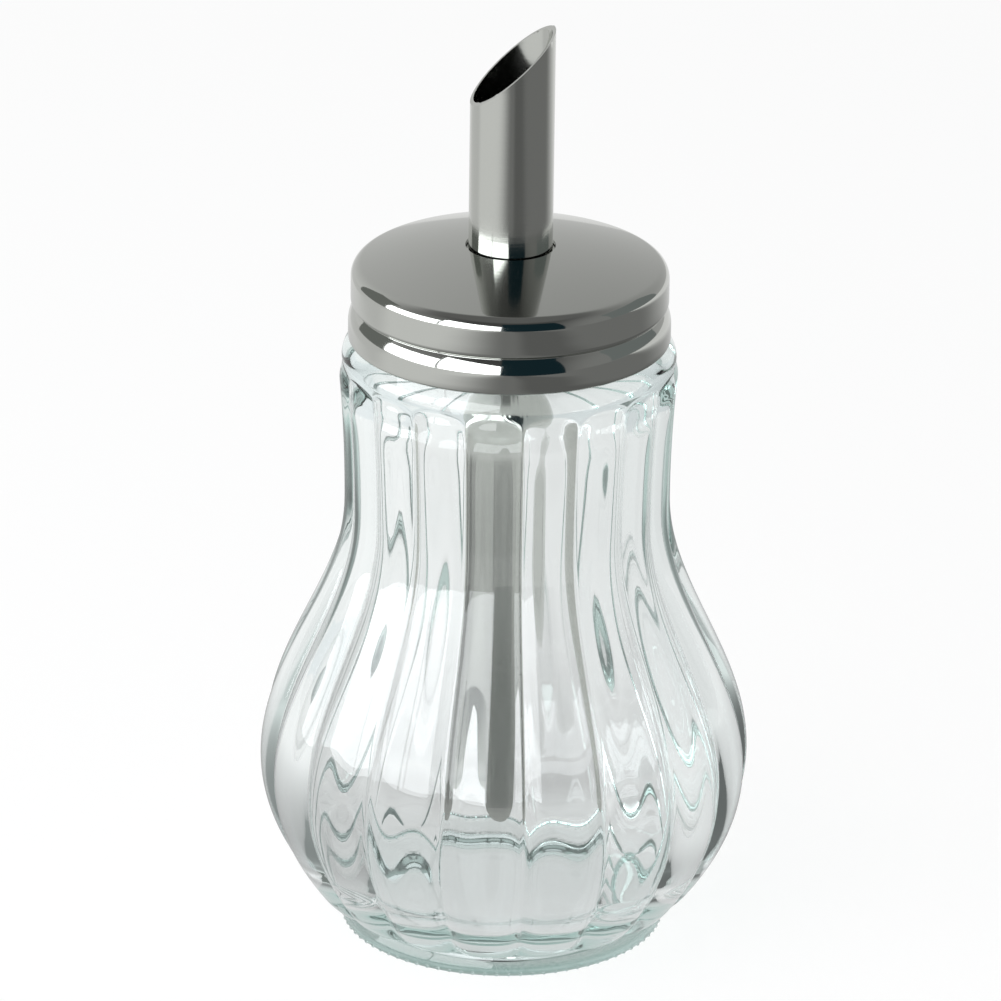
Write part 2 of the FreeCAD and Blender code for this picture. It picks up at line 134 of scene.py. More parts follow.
class SteelSizes(bpy.types.PropertyGroup):
    """Sizes of the lid and the dosing tube."""
    lid_radius: length("Lid radius", LID_HIGH.x, "Outer radius of the lid's lower band")
    dome_arc: length("Dome arc", 82.0 * MM, "Radius of the dome")
    dome_crown: length("Dome crown", 112.8 * MM, "Height that the dome would reach without its hole")
    lid_corner: length("Lid corner", 2.2 * MM, "Rounding between the dome and the wall")
    sheet: length("Sheet", 0.5 * MM, "Thickness of the lid's steel")
    hem: length("Hem", 1.0 * MM, "Thickness of the turned-in lower edge")
    hem_height: length("Hem height", 1.7 * MM, "Height of the turned-in lower edge")
    band_height: length("Band height", 2.65 * MM, "Height of the lower band, up to the groove")
    bead_lower: length("Bead radius", 4.7 * MM, "Radius of the shoulder below the groove")
    bead_groove: length("Groove radius", 0.15 * MM, "Radius of the groove's bottom")
    bead_upper: length("Upper edge radius", 1.0 * MM, "Radius of the edge above the groove")
    bead_lean: angle("Bead lean", 37.0, "Lean of the groove's lower side")
    bead_overhang: angle("Bead overhang", 62.0, "Lean of the groove's upper side")
    tube_radius: length("Tube radius", 6.5 * MM, "Outer radius of the dosing tube")
    tube_wall: length("Tube wall", 0.5 * MM, "Thickness of the tube")
    spout_slant: length("Spout slant", 11.8 * MM, "Height of the slanted mouth")
    hole_gap: length("Hole gap", 0.45 * MM, "Gap between the tube and the lid's hole")
    notch_width: length("Notch width", 10.8 * MM, "Width of the notch at the tube's lower end")
    notch_height: length("Notch height", 25.2 * MM, "Height of the notch")
    notch_flare: length("Notch flare", 0.85 * MM, "How far the notch opens at its lower corners")
    flare_rise: length("Flare rise", 3.8 * MM, "Height of those rounded corners")
    collar_radius: length("Collar radius", 10.5 * MM, "Radius of the collar under the lid")
    collar_height: length("Collar height", 1.8 * MM, "Height of the collar's rim")


class Finishes(bpy.types.PropertyGroup):
    """Colours of the object's materials."""
    glass_tint: colour("Glass tint", "#D3ECE8", "What a long way through the glass lets past")
    glass_depth: FloatProperty(name="Tint density", description="Absorption per metre", default=30.0)
    lid_steel: colour("Lid steel", "#C4C6C1", "Polished stainless steel")
    tube_steel: colour("Tube steel", "#C4C6C1", "Satin stainless steel")


class StudioSetup(bpy.types.PropertyGroup):
    """Camera."""
    azimuth: angle("Azimuth", -6.9, "Camera's turn round the object")
    elevation: angle("Elevation", 22.35, "Camera's height above the horizon")
    roll: angle("Roll", 0.75, "Camera's roll")
    distance: length("Distance", 1.5, "From the camera to the object's middle")
    aim_height: length("Aim height", 70.0 * MM, "Height that the camera looks at")
    aside: length("Sidestep", -1.04 * MM, "How far the camera stands to the right")
    lens: FloatProperty(name="Lens", description="Focal length", default=347.47, subtype="DISTANCE_CAMERA")


# ---------------------------------------------------------------- modelling by hand
def deselect_all():
    for thing in bpy.context.view_layer.objects.selected[:]:
        thing.select_set(False)


def activate(piece):
    deselect_all()
    piece.select_set(True)
    bpy.context.view_layer.objects.active = piece


def edit(piece):
    activate(piece)
    bpy.ops.object.mode_set(mode="EDIT")
    bpy.ops.mesh.select_mode(type="VERT")
    bpy.ops.mesh.select_all(action="SELECT")


def leave_edit():
    bpy.ops.object.mode_set(mode="OBJECT")


def turn_outline(name, points, steps):
    """Round piece: an outline of radius and height is drawn edge by edge and spun round Z."""
    deselect_all()
    bpy.ops.mesh.primitive_plane_add(size=MM)
    piece = bpy.context.object
    piece.name = piece.data.name = name
    edit(piece)
    bpy.ops.mesh.merge(type="CENTER")
    bpy.ops.transform.translate(value=(points[0][0], 0, points[0][1]))
    for before, after in zip(points, points[1:]):
        step = (after[0] - before[0], 0, after[1] - before[1])
        bpy.ops.mesh.extrude_region_move(TRANSFORM_OT_translate={"value": step})
    bpy.ops.mesh.select_all(action="SELECT")
    bpy.ops.mesh.spin(steps=steps, angle=math.tau, center=(0, 0, 0), axis=(0, 0, 1))
    weld()
    leave_edit()
    return piece


def weld():
    """Merge doubles and turn the faces outwards, in edit mode."""
    bpy.ops.mesh.select_all(action="SELECT")
    bpy.ops.mesh.remove_doubles(threshold=0.002 * MM)
    bpy.ops.mesh.normals_make_consistent(inside=False)


def join(name, pieces):
    activate(pieces[0])
    for piece in pieces[1:]:
        piece.select_set(True)
    bpy.ops.object.join()
    piece = bpy.context.object
    piece.name = piece.data.name = name
    return piece


def apply_modifier(piece, kind, **settings):
    activate(piece)
    modifier = piece.modifiers.new(kind.title(), kind)
    for name, value in settings.items():
        setattr(modifier, name, value)
    bpy.ops.object.modifier_apply(modifier=modifier.name)


def finish_piece(piece, node, material, smooth=None):
    """Smooth, dress and hang a piece on the frame."""
    activate(piece)
    if smooth is None:
        bpy.ops.object.shade_smooth()
    else:
        bpy.ops.object.shade_smooth_by_angle(angle=smooth)
    piece.data.materials.clear()
    piece.data.materials.append(material)
    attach(piece, "root")
    if node:
        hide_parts(node)
    deselect_all()


def between(low, high, steps):
    """Evenly spaced values after low, up to and with high."""
    return [low + (high - low) * step / steps for step in range(1, steps + 1)]


def arc(centre, radius, start, stop, steps):
    """Points of radius and height on an arc, after its start; angles in degrees from +radius."""
    turns = [math.radians(turn) for turn in between(start, stop, steps)]
    return [(centre[0] + radius * math.cos(turn), centre[1] + radius * math.sin(turn)) for turn in turns]


# ---------------------------------------------------------------- materials
def add_node(tree, kind, inputs=None, **settings):
    """One node; inputs gives its sockets a value or the socket that feeds them."""
    made = tree.nodes.new(kind)
    for name, value in settings.items():
        setattr(made, name, value)
    for socket, value in (inputs or {}).items():
        if isinstance(value, bpy.types.NodeSocket):
            tree.links.new(value, made.inputs[socket])
        else:
            made.inputs[socket].default_value = value
    return made


def ramp(tree, value, low, high, start, stop):
    """Smooth step of a value between two places."""
    return add_node(tree, "ShaderNodeMapRange", {
        "Value": value, "From Min": low, "From Max": high, "To Min": start, "To Max": stop},
        interpolation_type="SMOOTHSTEP").outputs["Result"]


def calc(tree, operation, *values):
    return add_node(tree, "ShaderNodeMath", dict(enumerate(values)), operation=operation).outputs["Value"]


def new_material(name):
    material = bpy.data.materials.new(name)
    material.use_nodes = True
    material.node_tree.nodes.clear()
    return material, material.node_tree


def soda_lime_glass(finish):
    """Soda-lime glass blown in a mould: clear, hard reflections, faintly green where it is deep.

    The mould leaves the skin slightly wavy, which makes the reflections and what shows through them swim.
    """
    material, tree = new_material("soda_lime_glass_blown")
    place = add_node(tree, "ShaderNodeTexCoord")
    wave = add_node(tree, "ShaderNodeTexNoise", {
        "Vector": place.outputs["Object"], "Scale": 1 / (14 * MM), "Detail": 1.0, "Roughness": 0.4})
    skin = add_node(tree, "ShaderNodeBump", {
        "Height": wave.outputs["Fac"], "Strength": 1.0, "Distance": 0.006 * MM})
    body = add_node(tree, "ShaderNodeBsdfPrincipled", {
        "Base Color": (1, 1, 1, 1), "Roughness": 0.0, "IOR": 1.52, "Transmission Weight": 1.0,
        "Normal": skin.outputs["Normal"]})
    clear = add_node(tree, "ShaderNodeBsdfTransparent", {"Color": (0.93, 0.96, 0.95, 1)})
    path = add_node(tree, "ShaderNodeLightPath").outputs
    spent = calc(tree, "GREATER_THAN", path["Glossy Depth"], 2.5)
    straight = calc(tree, "MAXIMUM", path["Is Shadow Ray"], spent)
    mix = add_node(tree, "ShaderNodeMixShader", {0: straight, 1: body.outputs["BSDF"], 2: clear.outputs["BSDF"]})
    deep = add_node(tree, "ShaderNodeVolumeAbsorption", {
        "Color": finish.glass_tint[:], "Density": finish.glass_depth})
    add_node(tree, "ShaderNodeOutputMaterial", {
        "Surface": mix.outputs["Shader"], "Volume": deep.outputs["Volume"]})
    return material


def polished_steel(finish):
    """Stainless steel sheet, pressed and buffed: crisp reflections with a very slight haze."""
    material, tree = new_material("stainless_steel_buffed")
    place = add_node(tree, "ShaderNodeTexCoord")
    haze = add_node(tree, "ShaderNodeTexNoise", {
        "Vector": place.outputs["Object"], "Scale": 1 / (3 * MM), "Detail": 4.0})
    rough = add_node(tree, "ShaderNodeMapRange", {
        "Value": haze.outputs["Fac"], "To Min": 0.04, "To Max": 0.09})
    metal = add_node(tree, "ShaderNodeBsdfPrincipled", {
        "Base Color": finish.lid_steel[:], "Metallic": 1.0, "Roughness": rough.outputs["Result"]})
    add_node(tree, "ShaderNodeOutputMaterial", {"Surface": metal.outputs["BSDF"]})
    return material


def satin_steel(finish):
    """Stainless steel tube, belt-polished round its axis: fine rings that draw reflections out lengthwise."""
    material, tree = new_material("stainless_steel_satin_tube")
    place = add_node(tree, "ShaderNodeTexCoord")
    rings = add_node(tree, "ShaderNodeMapping", {
        "Vector": place.outputs["Object"], "Scale": (1 / (9 * MM), 1 / (9 * MM), 1 / (0.35 * MM))})
    grain = add_node(tree, "ShaderNodeTexNoise", {
        "Vector": rings.outputs["Vector"], "Scale": 1.0, "Detail": 3.0, "Roughness": 0.6})
    line = add_node(tree, "ShaderNodeBump", {
        "Height": grain.outputs["Fac"], "Strength": 0.35, "Distance": 0.02 * MM})
    tangent = add_node(tree, "ShaderNodeTangent", direction_type="RADIAL", axis="Z")
    metal = add_node(tree, "ShaderNodeBsdfPrincipled", {
        "Base Color": finish.tube_steel[:], "Metallic": 1.0, "Roughness": 0.12, "Anisotropic": 0.6,
        "Anisotropic Rotation": 0.25, "Normal": line.outputs["Normal"], "Tangent": tangent.outputs["Tangent"]})
    add_node(tree, "ShaderNodeOutputMaterial", {"Surface": metal.outputs["BSDF"]})
    return material


# ---------------------------------------------------------------- the jar
def crest_radius(jar, height):
    """Radius on the crest of a lobe, and its slope, from the foot up to the shoulder."""
    neck_level = jar.belly_height + jar.flank_height
    if height < jar.belly_height:
        reach = jar.belly_height - jar.foot_height
        part = (jar.belly_height - height) / reach
        drop = jar.belly_radius - jar.base_radius
        return jar.belly_radius - drop * part ** 2, 2 * drop * part / reach
    if height < neck_level:
        turn = math.pi * (height - jar.belly_height) / jar.flank_height
        swing = (jar.belly_radius - jar.neck_radius) / 2
        return jar.neck_radius + swing * (1 + math.cos(turn)), -swing * math.sin(turn) * math.pi / jar.flank_height
    part = (height - neck_level) / jar.flare_height
    rise = jar.shoulder_radius - jar.neck_radius
    return jar.neck_radius + rise * part ** 2, 2 * rise * part / jar.flare_height


def flute_share(across):
    """Depth of a lobe's section as a share of the groove's, from 0 on the crest to 1 in the rounded groove."""
    edge = 0.93
    across = abs(across)
    inside = min(across, edge)
    depth = (inside ** 2 + inside ** 4) / 2
    past = across - inside
    slope = inside + 2 * inside ** 3
    depth += slope * (past - past ** 2 / (2 * (1 - edge)))
    full = (edge ** 2 + edge ** 4) / 2 + (edge + 2 * edge ** 3) * (1 - edge) / 2
    return depth / full


def soft_max(one, other, blend):
    """The larger of two lengths, blended over a short way where they are alike."""
    gap = max(blend - abs(one - other), 0.0) / blend
    return max(one, other) + gap ** 2 * blend / 4


def shoulder_level(jar):
    return jar.belly_height + jar.flank_height + jar.flare_height


def plain_shoulder(jar, height):
    """Radius of the plain glass between and above the lobes' arched tops."""
    level = shoulder_level(jar)
    low, high, top = level - 0.7 * MM, level + 3.3 * MM, level + 7.0 * MM
    crest = jar.shoulder_radius - 0.35 * MM
    if height < low:
        return 0.0
    if height < high:
        return crest - jar.neck_flute_depth * (high - height) / (high - low)
    part = min((height - high) / (top - high), 1.0)
    return jar.neck_outside + (crest - jar.neck_outside) * math.sqrt(1 - part ** 2)


def lobed_radius(jar, height, across):
    """Radius of the lobed wall at a height, across a lobe from -1 to 1."""
    level = shoulder_level(jar)
    part = min(max((height - jar.belly_height) / jar.flank_height, 0), 1)
    depth = jar.flute_depth + (jar.neck_flute_depth - jar.flute_depth) * part
    if height <= level:
        crest = crest_radius(jar, height)[0]
    else:
        lift = min((height - level) / jar.lobe_rise, 1.0)
        crest = jar.shoulder_radius - jar.lobe_close * (1 - math.sqrt(1 - lift ** 2))
    low_end = jar.foot_height + 3 * MM
    if height < low_end:
        lift = (low_end - height) / (low_end - jar.foot_height + 0.3 * MM)
        crest -= jar.base_round * (1 - math.sqrt(max(1 - lift ** 2, 0)))
    return crest - depth * flute_share(across)


def jar_outside(jar):
    """Outline of the jar's outside, from the middle of the punt up to the mouth."""
    standing_edge = jar.foot_radius - jar.foot_round
    punt_edge = standing_edge - jar.standing_width
    waist = jar.foot_radius - jar.foot_waist
    level = shoulder_level(jar)
    points = [(0.0, jar.punt_depth)]
    points += [(r, jar.punt_depth * math.cos(math.pi / 2 * (r / punt_edge) ** 3))
               for r in between(0, punt_edge, 14)]
    points += [(r, 0.0) for r in between(punt_edge, standing_edge, 3)]
    points += arc((standing_edge, jar.foot_round), jar.foot_round, -90, 0, 8)
    points += [(jar.foot_radius - jar.foot_waist * (1 - math.cos(turn)) / 2,
                jar.foot_round + (jar.foot_height * 0.92 - jar.foot_round) * turn / math.pi)
               for turn in between(0, math.pi, 8)]
    base = jar.foot_height
    heights = [base + 3 * MM * part ** 2 for part in between(0, 1, 9)]
    heights += between(base + 3 * MM, jar.belly_height, 16)
    heights += between(jar.belly_height, jar.belly_height + jar.flank_height, 40)
    heights += between(jar.belly_height + jar.flank_height, level - 1 * MM, 15)
    heights += between(level - 1 * MM, level + 4.6 * MM, 26)
    points += [(lobed_radius(jar, base, 0), base)]
    points += [(soft_max(lobed_radius(jar, height, 0), plain_shoulder(jar, height), 0.6 * MM), height)
               for height in heights]
    points += [(plain_shoulder(jar, height), height)
               for height in (level + 4.6 * MM + 2.4 * MM * math.sin(turn) for turn in between(0, math.pi / 2, 9))]
    top = JAR_HIGH.z
    points += [(jar.neck_outside, height) for height in between(level + 7 * MM, top - jar.mouth_round, 4)]
    points += arc((jar.neck_outside - jar.mouth_round, top - jar.mouth_round), jar.mouth_round, 0, 90, 5)
    return points


def jar_inside(jar):
    """Outline of the inside, from the mouth down to the middle of the floor."""
    top = JAR_HIGH.z
    level = shoulder_level(jar)
    bore = jar.neck_outside - jar.wall
    curve_top = jar.floor_height + jar.floor_curve

    def wall(height):
        radius, slope = crest_radius(jar, height)
        return radius - jar.wall * math.sqrt(1 + slope ** 2)

    points = [(jar.neck_outside - jar.mouth_round, top)]
    points += arc((bore + jar.mouth_round, top - jar.mouth_round), jar.mouth_round, 90, 180, 5)
    points += [(bore, height) for height in between(top - jar.mouth_round, level + 7 * MM, 3)]
    shoulder = wall(level - 4 * MM)
    points += [(bore + (shoulder - bore) * (1 - math.cos(turn)) / 2, level + 7 * MM - 11 * MM * turn / math.pi)
               for turn in between(0, math.pi, 14)]
    points += [(wall(height), height) for height in between(level - 4 * MM, jar.belly_height, 44)]
    points += [(wall(height), height) for height in between(jar.belly_height, curve_top, 12)]
    foot = wall(curve_top)
    points += [(jar.floor_radius + (foot - jar.floor_radius) * math.cos(turn),
                jar.floor_height + jar.floor_curve * (1 - math.sin(turn)))
               for turn in between(0, math.pi / 2, 16)]
    points += [(radius, jar.floor_height) for radius in between(jar.floor_radius, 0, 8)]
    return points


def press(piece, jar, shape):
    """Move each vertex to the radius that shape gives it, with the columns gathered towards the grooves."""
    half = math.pi / FLUTES
    for vertex in piece.data.vertices:
        x, y, height = vertex.co
        turn = math.atan2(y, x)
        lobe = math.floor(turn / (2 * half)) * 2 * half + half
        across = (turn - lobe) / half
        across = 0.45 * across + 0.55 * math.sin(across * math.pi / 2)
        radius = shape(jar, math.hypot(x, y), height, across)
        turn = lobe + across * half + jar.flute_turn
        vertex.co = (radius * math.cos(turn), radius * math.sin(turn), height)


def outside_lobes(jar, radius, height, across):
    """The mould's lobes, from the foot up to their arched tops."""
    low = jar.foot_height - 0.01 * MM
    high = shoulder_level(jar) + jar.lobe_rise + 0.01 * MM
    if low <= height <= high and radius > jar.neck_radius - 4 * MM:
        return soft_max(lobed_radius(jar, height, across), plain_shoulder(jar, height), 0.6 * MM)
    return radius


def inside_wave(jar, radius, height, across):
    """The inside follows the lobes softly, so the wall bends what shows through it only near the grooves."""
    floor, top = jar.floor_height + jar.floor_curve / 2, shoulder_level(jar)
    rise = min(max((height - floor) / (12 * MM), 0), 1) * min(max((top - height) / (8 * MM), 0), 1)
    part = min(max((height - jar.belly_height) / jar.flank_height, 0), 1)
    depth = jar.inside_wave + (jar.neck_inside_wave - jar.inside_wave) * part
    return radius - depth * rise * (1 - math.cos(math.pi * across)) / 2


class DISPENSER_OT_jar(bpy.types.Operator):
    """Blow the glass jar: a spun outside pressed into lobes, welded to a smooth inside"""
    bl_idname = "dispenser.jar"
    bl_label = "Glass jar"

    def execute(self, context):
        jar = context.scene.dispenser_jar
        outside = turn_outline("outside", jar_outside(jar), FLUTES * 20)
        press(outside, jar, outside_lobes)
        inside = turn_outline("inside", jar_inside(jar), FLUTES * 20)
        press(inside, jar, inside_wave)
        piece = join("jar_glass", [outside, inside])
        edit(piece)
        weld()
        leave_edit()
        finish_piece(piece, "jar", soda_lime_glass(context.scene.dispenser_finish))
        return {"FINISHED"}


class DISPENSER_OT_stipples(bpy.types.Operator):
    """Set the ring of small glass beads round the foot's lower edge"""
    bl_idname = "dispenser.stipples"
    bl_label = "Foot stipples"

    def execute(self, context):
        jar = context.scene.dispenser_jar
        radius = jar.foot_radius - jar.foot_round * 0.29
        beads = []
        deselect_all()
        for index in range(jar.stipples):
            turn = math.tau * index / jar.stipples
            spot = (radius * math.cos(turn), radius * math.sin(turn), jar.foot_round * 0.45)
            bpy.ops.mesh.primitive_ico_sphere_add(subdivisions=2, radius=jar.stipple_radius, location=spot)
            beads.append(bpy.context.object)
        piece = join("foot_stipples", beads)
        bpy.ops.object.transform_apply(location=True, rotation=True, scale=True)
        finish_piece(piece, None, bpy.data.materials["soda_lime_glass_blown"])
        return {"FINISHED"}


# ---------------------------------------------------------------- the lid
def lid_outline(steel):
    """Closed section of the lid: outside from the hem to the hole, and back along the inside."""
    low, outer = LID_BOTTOM, steel.lid_radius
    lean, overhang = steel.bead_lean, steel.bead_overhang
    band_top = low + steel.band_height
    bead = (outer - steel.bead_lower, band_top)
    reach = steel.bead_lower + steel.bead_groove
    groove = (bead[0] + reach * math.cos(lean), bead[1] + reach * math.sin(lean))
    reach = steel.bead_groove + steel.bead_upper
    edge = (groove[0] - reach * math.cos(overhang), groove[1] + reach * math.sin(overhang))
    wall = edge[0] + steel.bead_upper
    centre = steel.dome_crown - steel.dome_arc
    corner_x = wall - steel.lid_corner
    corner_z = centre + math.sqrt((steel.dome_arc - steel.lid_corner) ** 2 - corner_x ** 2)
    join_angle = math.degrees(math.atan2(corner_z - centre, corner_x))
    hole = steel.tube_radius + steel.hole_gap
    lean, overhang = math.degrees(lean), math.degrees(overhang)

    def side(inset, fine):
        """One face of the sheet, from the band up to the hole, this far inside the outer face."""
        points = [(outer - inset, band_top)]
        points += arc(bead, steel.bead_lower - inset, 0, lean, fine)
        points += arc(groove, steel.bead_groove + inset, 180 + lean, 180 - overhang, fine)
        points += arc(edge, steel.bead_upper - inset, -overhang, 0, fine)
        points += [(wall - inset, height) for height in between(edge[1], corner_z, 3)]
        points += arc((corner_x, corner_z), steel.lid_corner - inset, 0, join_angle, fine * 2)
        rim = math.degrees(math.acos(hole / (steel.dome_arc - inset)))
        points += arc((0, centre), steel.dome_arc - inset, join_angle, rim, 24)
        return points

    hem_round = steel.hem / 2
    points = arc((outer - hem_round, low + hem_round), hem_round, -180, 0, 10)
    points += [(outer, height) for height in between(low + hem_round, band_top, 3)][:-1]
    points += side(0.0, 10)
    points += side(steel.sheet, 6)[::-1]
    points += [(outer - steel.sheet, low + steel.hem_height + 0.3 * MM)]
    points += [(outer - steel.hem, low + steel.hem_height)]
    points += [(outer - steel.hem, low + hem_round)]
    return points


class DISPENSER_OT_lid(bpy.types.Operator):
    """Press the steel lid: dome, rounded corner, rolled groove and hemmed edge in one spun sheet"""
    bl_idname = "dispenser.lid"
    bl_label = "Steel lid"

    def execute(self, context):
        piece = turn_outline("lid_shell", lid_outline(context.scene.dispenser_steel), 256)
        finish_piece(piece, "lid", polished_steel(context.scene.dispenser_finish), math.radians(40))
        return {"FINISHED"}


# ---------------------------------------------------------------- the dosing tube
class DISPENSER_OT_tube(bpy.types.Operator):
    """Cut the dosing tube: slanted mouth, notched lower end and the collar that holds it under the lid"""
    bl_idname = "dispenser.tube"
    bl_label = "Dosing tube"

    def execute(self, context):
        steel = context.scene.dispenser_steel
        low, high = TUBE_LOW.z, TUBE_HIGH.z - 0.01 * MM
        bore = steel.tube_radius - steel.tube_wall
        heights = between(low, high, 60)
        collar = collar_outline(steel)
        outline = [(bore, low), (steel.tube_radius, low)]
        outline += [(steel.tube_radius, height) for height in heights if height < collar[0][1]]
        outline += collar
        outline += [(steel.tube_radius, height) for height in heights if height > collar[-1][1]]
        outline += [(bore, height) for height in heights[::-1]] + [(bore, low)]
        pipe = turn_outline("dosing_tube", outline, 128)
        slant_pipe(pipe, steel, high)
        cut_notch(pipe, steel, low)
        apply_modifier(pipe, "BEVEL", width=0.08 * MM, segments=2, limit_method="ANGLE",
                       angle_limit=math.radians(50))
        finish_piece(pipe, "tube", satin_steel(context.scene.dispenser_finish), math.radians(35))
        return {"FINISHED"}


def collar_outline(steel):
    """Outside of the collar, from its rim's lower edge to the tube, close under the dome."""
    centre, under = steel.dome_crown - steel.dome_arc, steel.dome_arc - steel.sheet - 0.2 * MM
    step = (steel.collar_radius - steel.tube_radius) / 6
    top = [(reach, centre + math.sqrt(under ** 2 - reach ** 2))
           for reach in [steel.collar_radius - step * index for index in range(7)]]
    rim = top[0][1] - steel.collar_height
    return [(steel.tube_radius, rim), (steel.collar_radius, rim)] + top


def slant_pipe(pipe, steel, high):
    """Slice the mouth off along its slant and cap the cut."""
    edit(pipe)
    tilt = Vector((-steel.spout_slant, 0, 2 * steel.tube_radius)).normalized()
    bpy.ops.mesh.bisect(plane_co=(steel.tube_radius, 0, high), plane_no=tilt, use_fill=True, clear_outer=True)
    leave_edit()


def cut_notch(pipe, steel, low):
    """Cut the arched notch, with its rounded lower corners, through the side that the spout faces."""
    half = steel.notch_width / 2
    arch = low + steel.notch_height - half
    bend = (steel.flare_rise ** 2 + steel.notch_flare ** 2) / (2 * steel.notch_flare)
    side = [(half + bend - math.sqrt(bend ** 2 - (height - low - steel.flare_rise) ** 2), height)
            for height in [low] + between(low, low + steel.flare_rise, 8)]
    side = [(side[0][0], low - 2 * MM)] + side
    outline = side + arc((0, arch), half, 0, 90, 14)
    outline += [(-across, height) for across, height in outline[:-1][::-1]]
    deselect_all()
    bpy.ops.mesh.primitive_plane_add(size=MM)
    cutter = bpy.context.object
    edit(cutter)
    bpy.ops.mesh.merge(type="CENTER")
    bpy.ops.transform.translate(value=(0, outline[0][0], outline[0][1]))
    for before, after in zip(outline, outline[1:]):
        bpy.ops.mesh.extrude_region_move(
            TRANSFORM_OT_translate={"value": (0, after[0] - before[0], after[1] - before[1])})
    bpy.ops.mesh.select_all(action="SELECT")
    bpy.ops.mesh.edge_face_add()
    bpy.ops.mesh.extrude_region_move(TRANSFORM_OT_translate={"value": (-2 * steel.tube_radius, 0, 0)})
    weld()
    leave_edit()
    apply_modifier(pipe, "BOOLEAN", object=cutter, operation="DIFFERENCE", solver="EXACT")
    bpy.data.objects.remove(cutter)


# ---------------------------------------------------------------- the studio
def camera_axes(studio):
    """Direction back to the camera, and the picture's right and up, with the roll."""
    a, e, roll = studio.azimuth, studio.elevation, studio.roll
    back = Vector((math.sin(a) * math.cos(e), -math.cos(a) * math.cos(e), math.sin(e)))
    level = Vector((math.cos(a), math.sin(a), 0))
    upright = back.cross(level)
    right = level * math.cos(roll) + upright * math.sin(roll)
    return back, right, back.cross(right)


def set_camera(studio):
    back, right, up = camera_axes(studio)
    bpy.ops.object.camera_add()
    camera = bpy.context.object
    camera.name = "studio_camera"
    camera.data.lens = studio.lens
    camera.data.clip_start, camera.data.clip_end = 0.01, 20
    place = Vector((0, 0, studio.aim_height)) + back * studio.distance + right * studio.aside
    camera.matrix_world = Matrix([(right[i], up[i], back[i], place[i]) for i in range(3)] + [(0, 0, 0, 1)])
    bpy.context.scene.camera = camera


def card(name, turn, start, stop, low, high, distance, glow, through=True):
    """Upright card in a wall that faces the object from one side, between two directions.

    The angles are degrees round from the camera's direction, to the right, and glow is its light's colour.
    """
    studio = bpy.context.scene.dispenser_studio
    out = studio.azimuth + math.radians(turn)
    left, right = (distance * math.tan(math.radians(end - turn)) for end in (start, stop))
    middle, width = (left + right) / 2, right - left
    deselect_all()
    bpy.ops.mesh.primitive_plane_add(size=1, rotation=(math.pi / 2, 0, out), location=(
        distance * math.sin(out) + middle * math.cos(out),
        middle * math.sin(out) - distance * math.cos(out), (low + high) / 2))
    piece = bpy.context.object
    piece.name = name
    piece.scale = (width, high - low, 1)
    material, tree = new_material(name)
    light = add_node(tree, "ShaderNodeEmission", {"Color": (*glow, 1), "Strength": 1.0})
    add_node(tree, "ShaderNodeOutputMaterial", {"Surface": light.outputs["Emission"]})
    piece.data.materials.append(material)
    piece.visible_camera = False
    piece.visible_shadow = False
    piece.visible_transmission = through


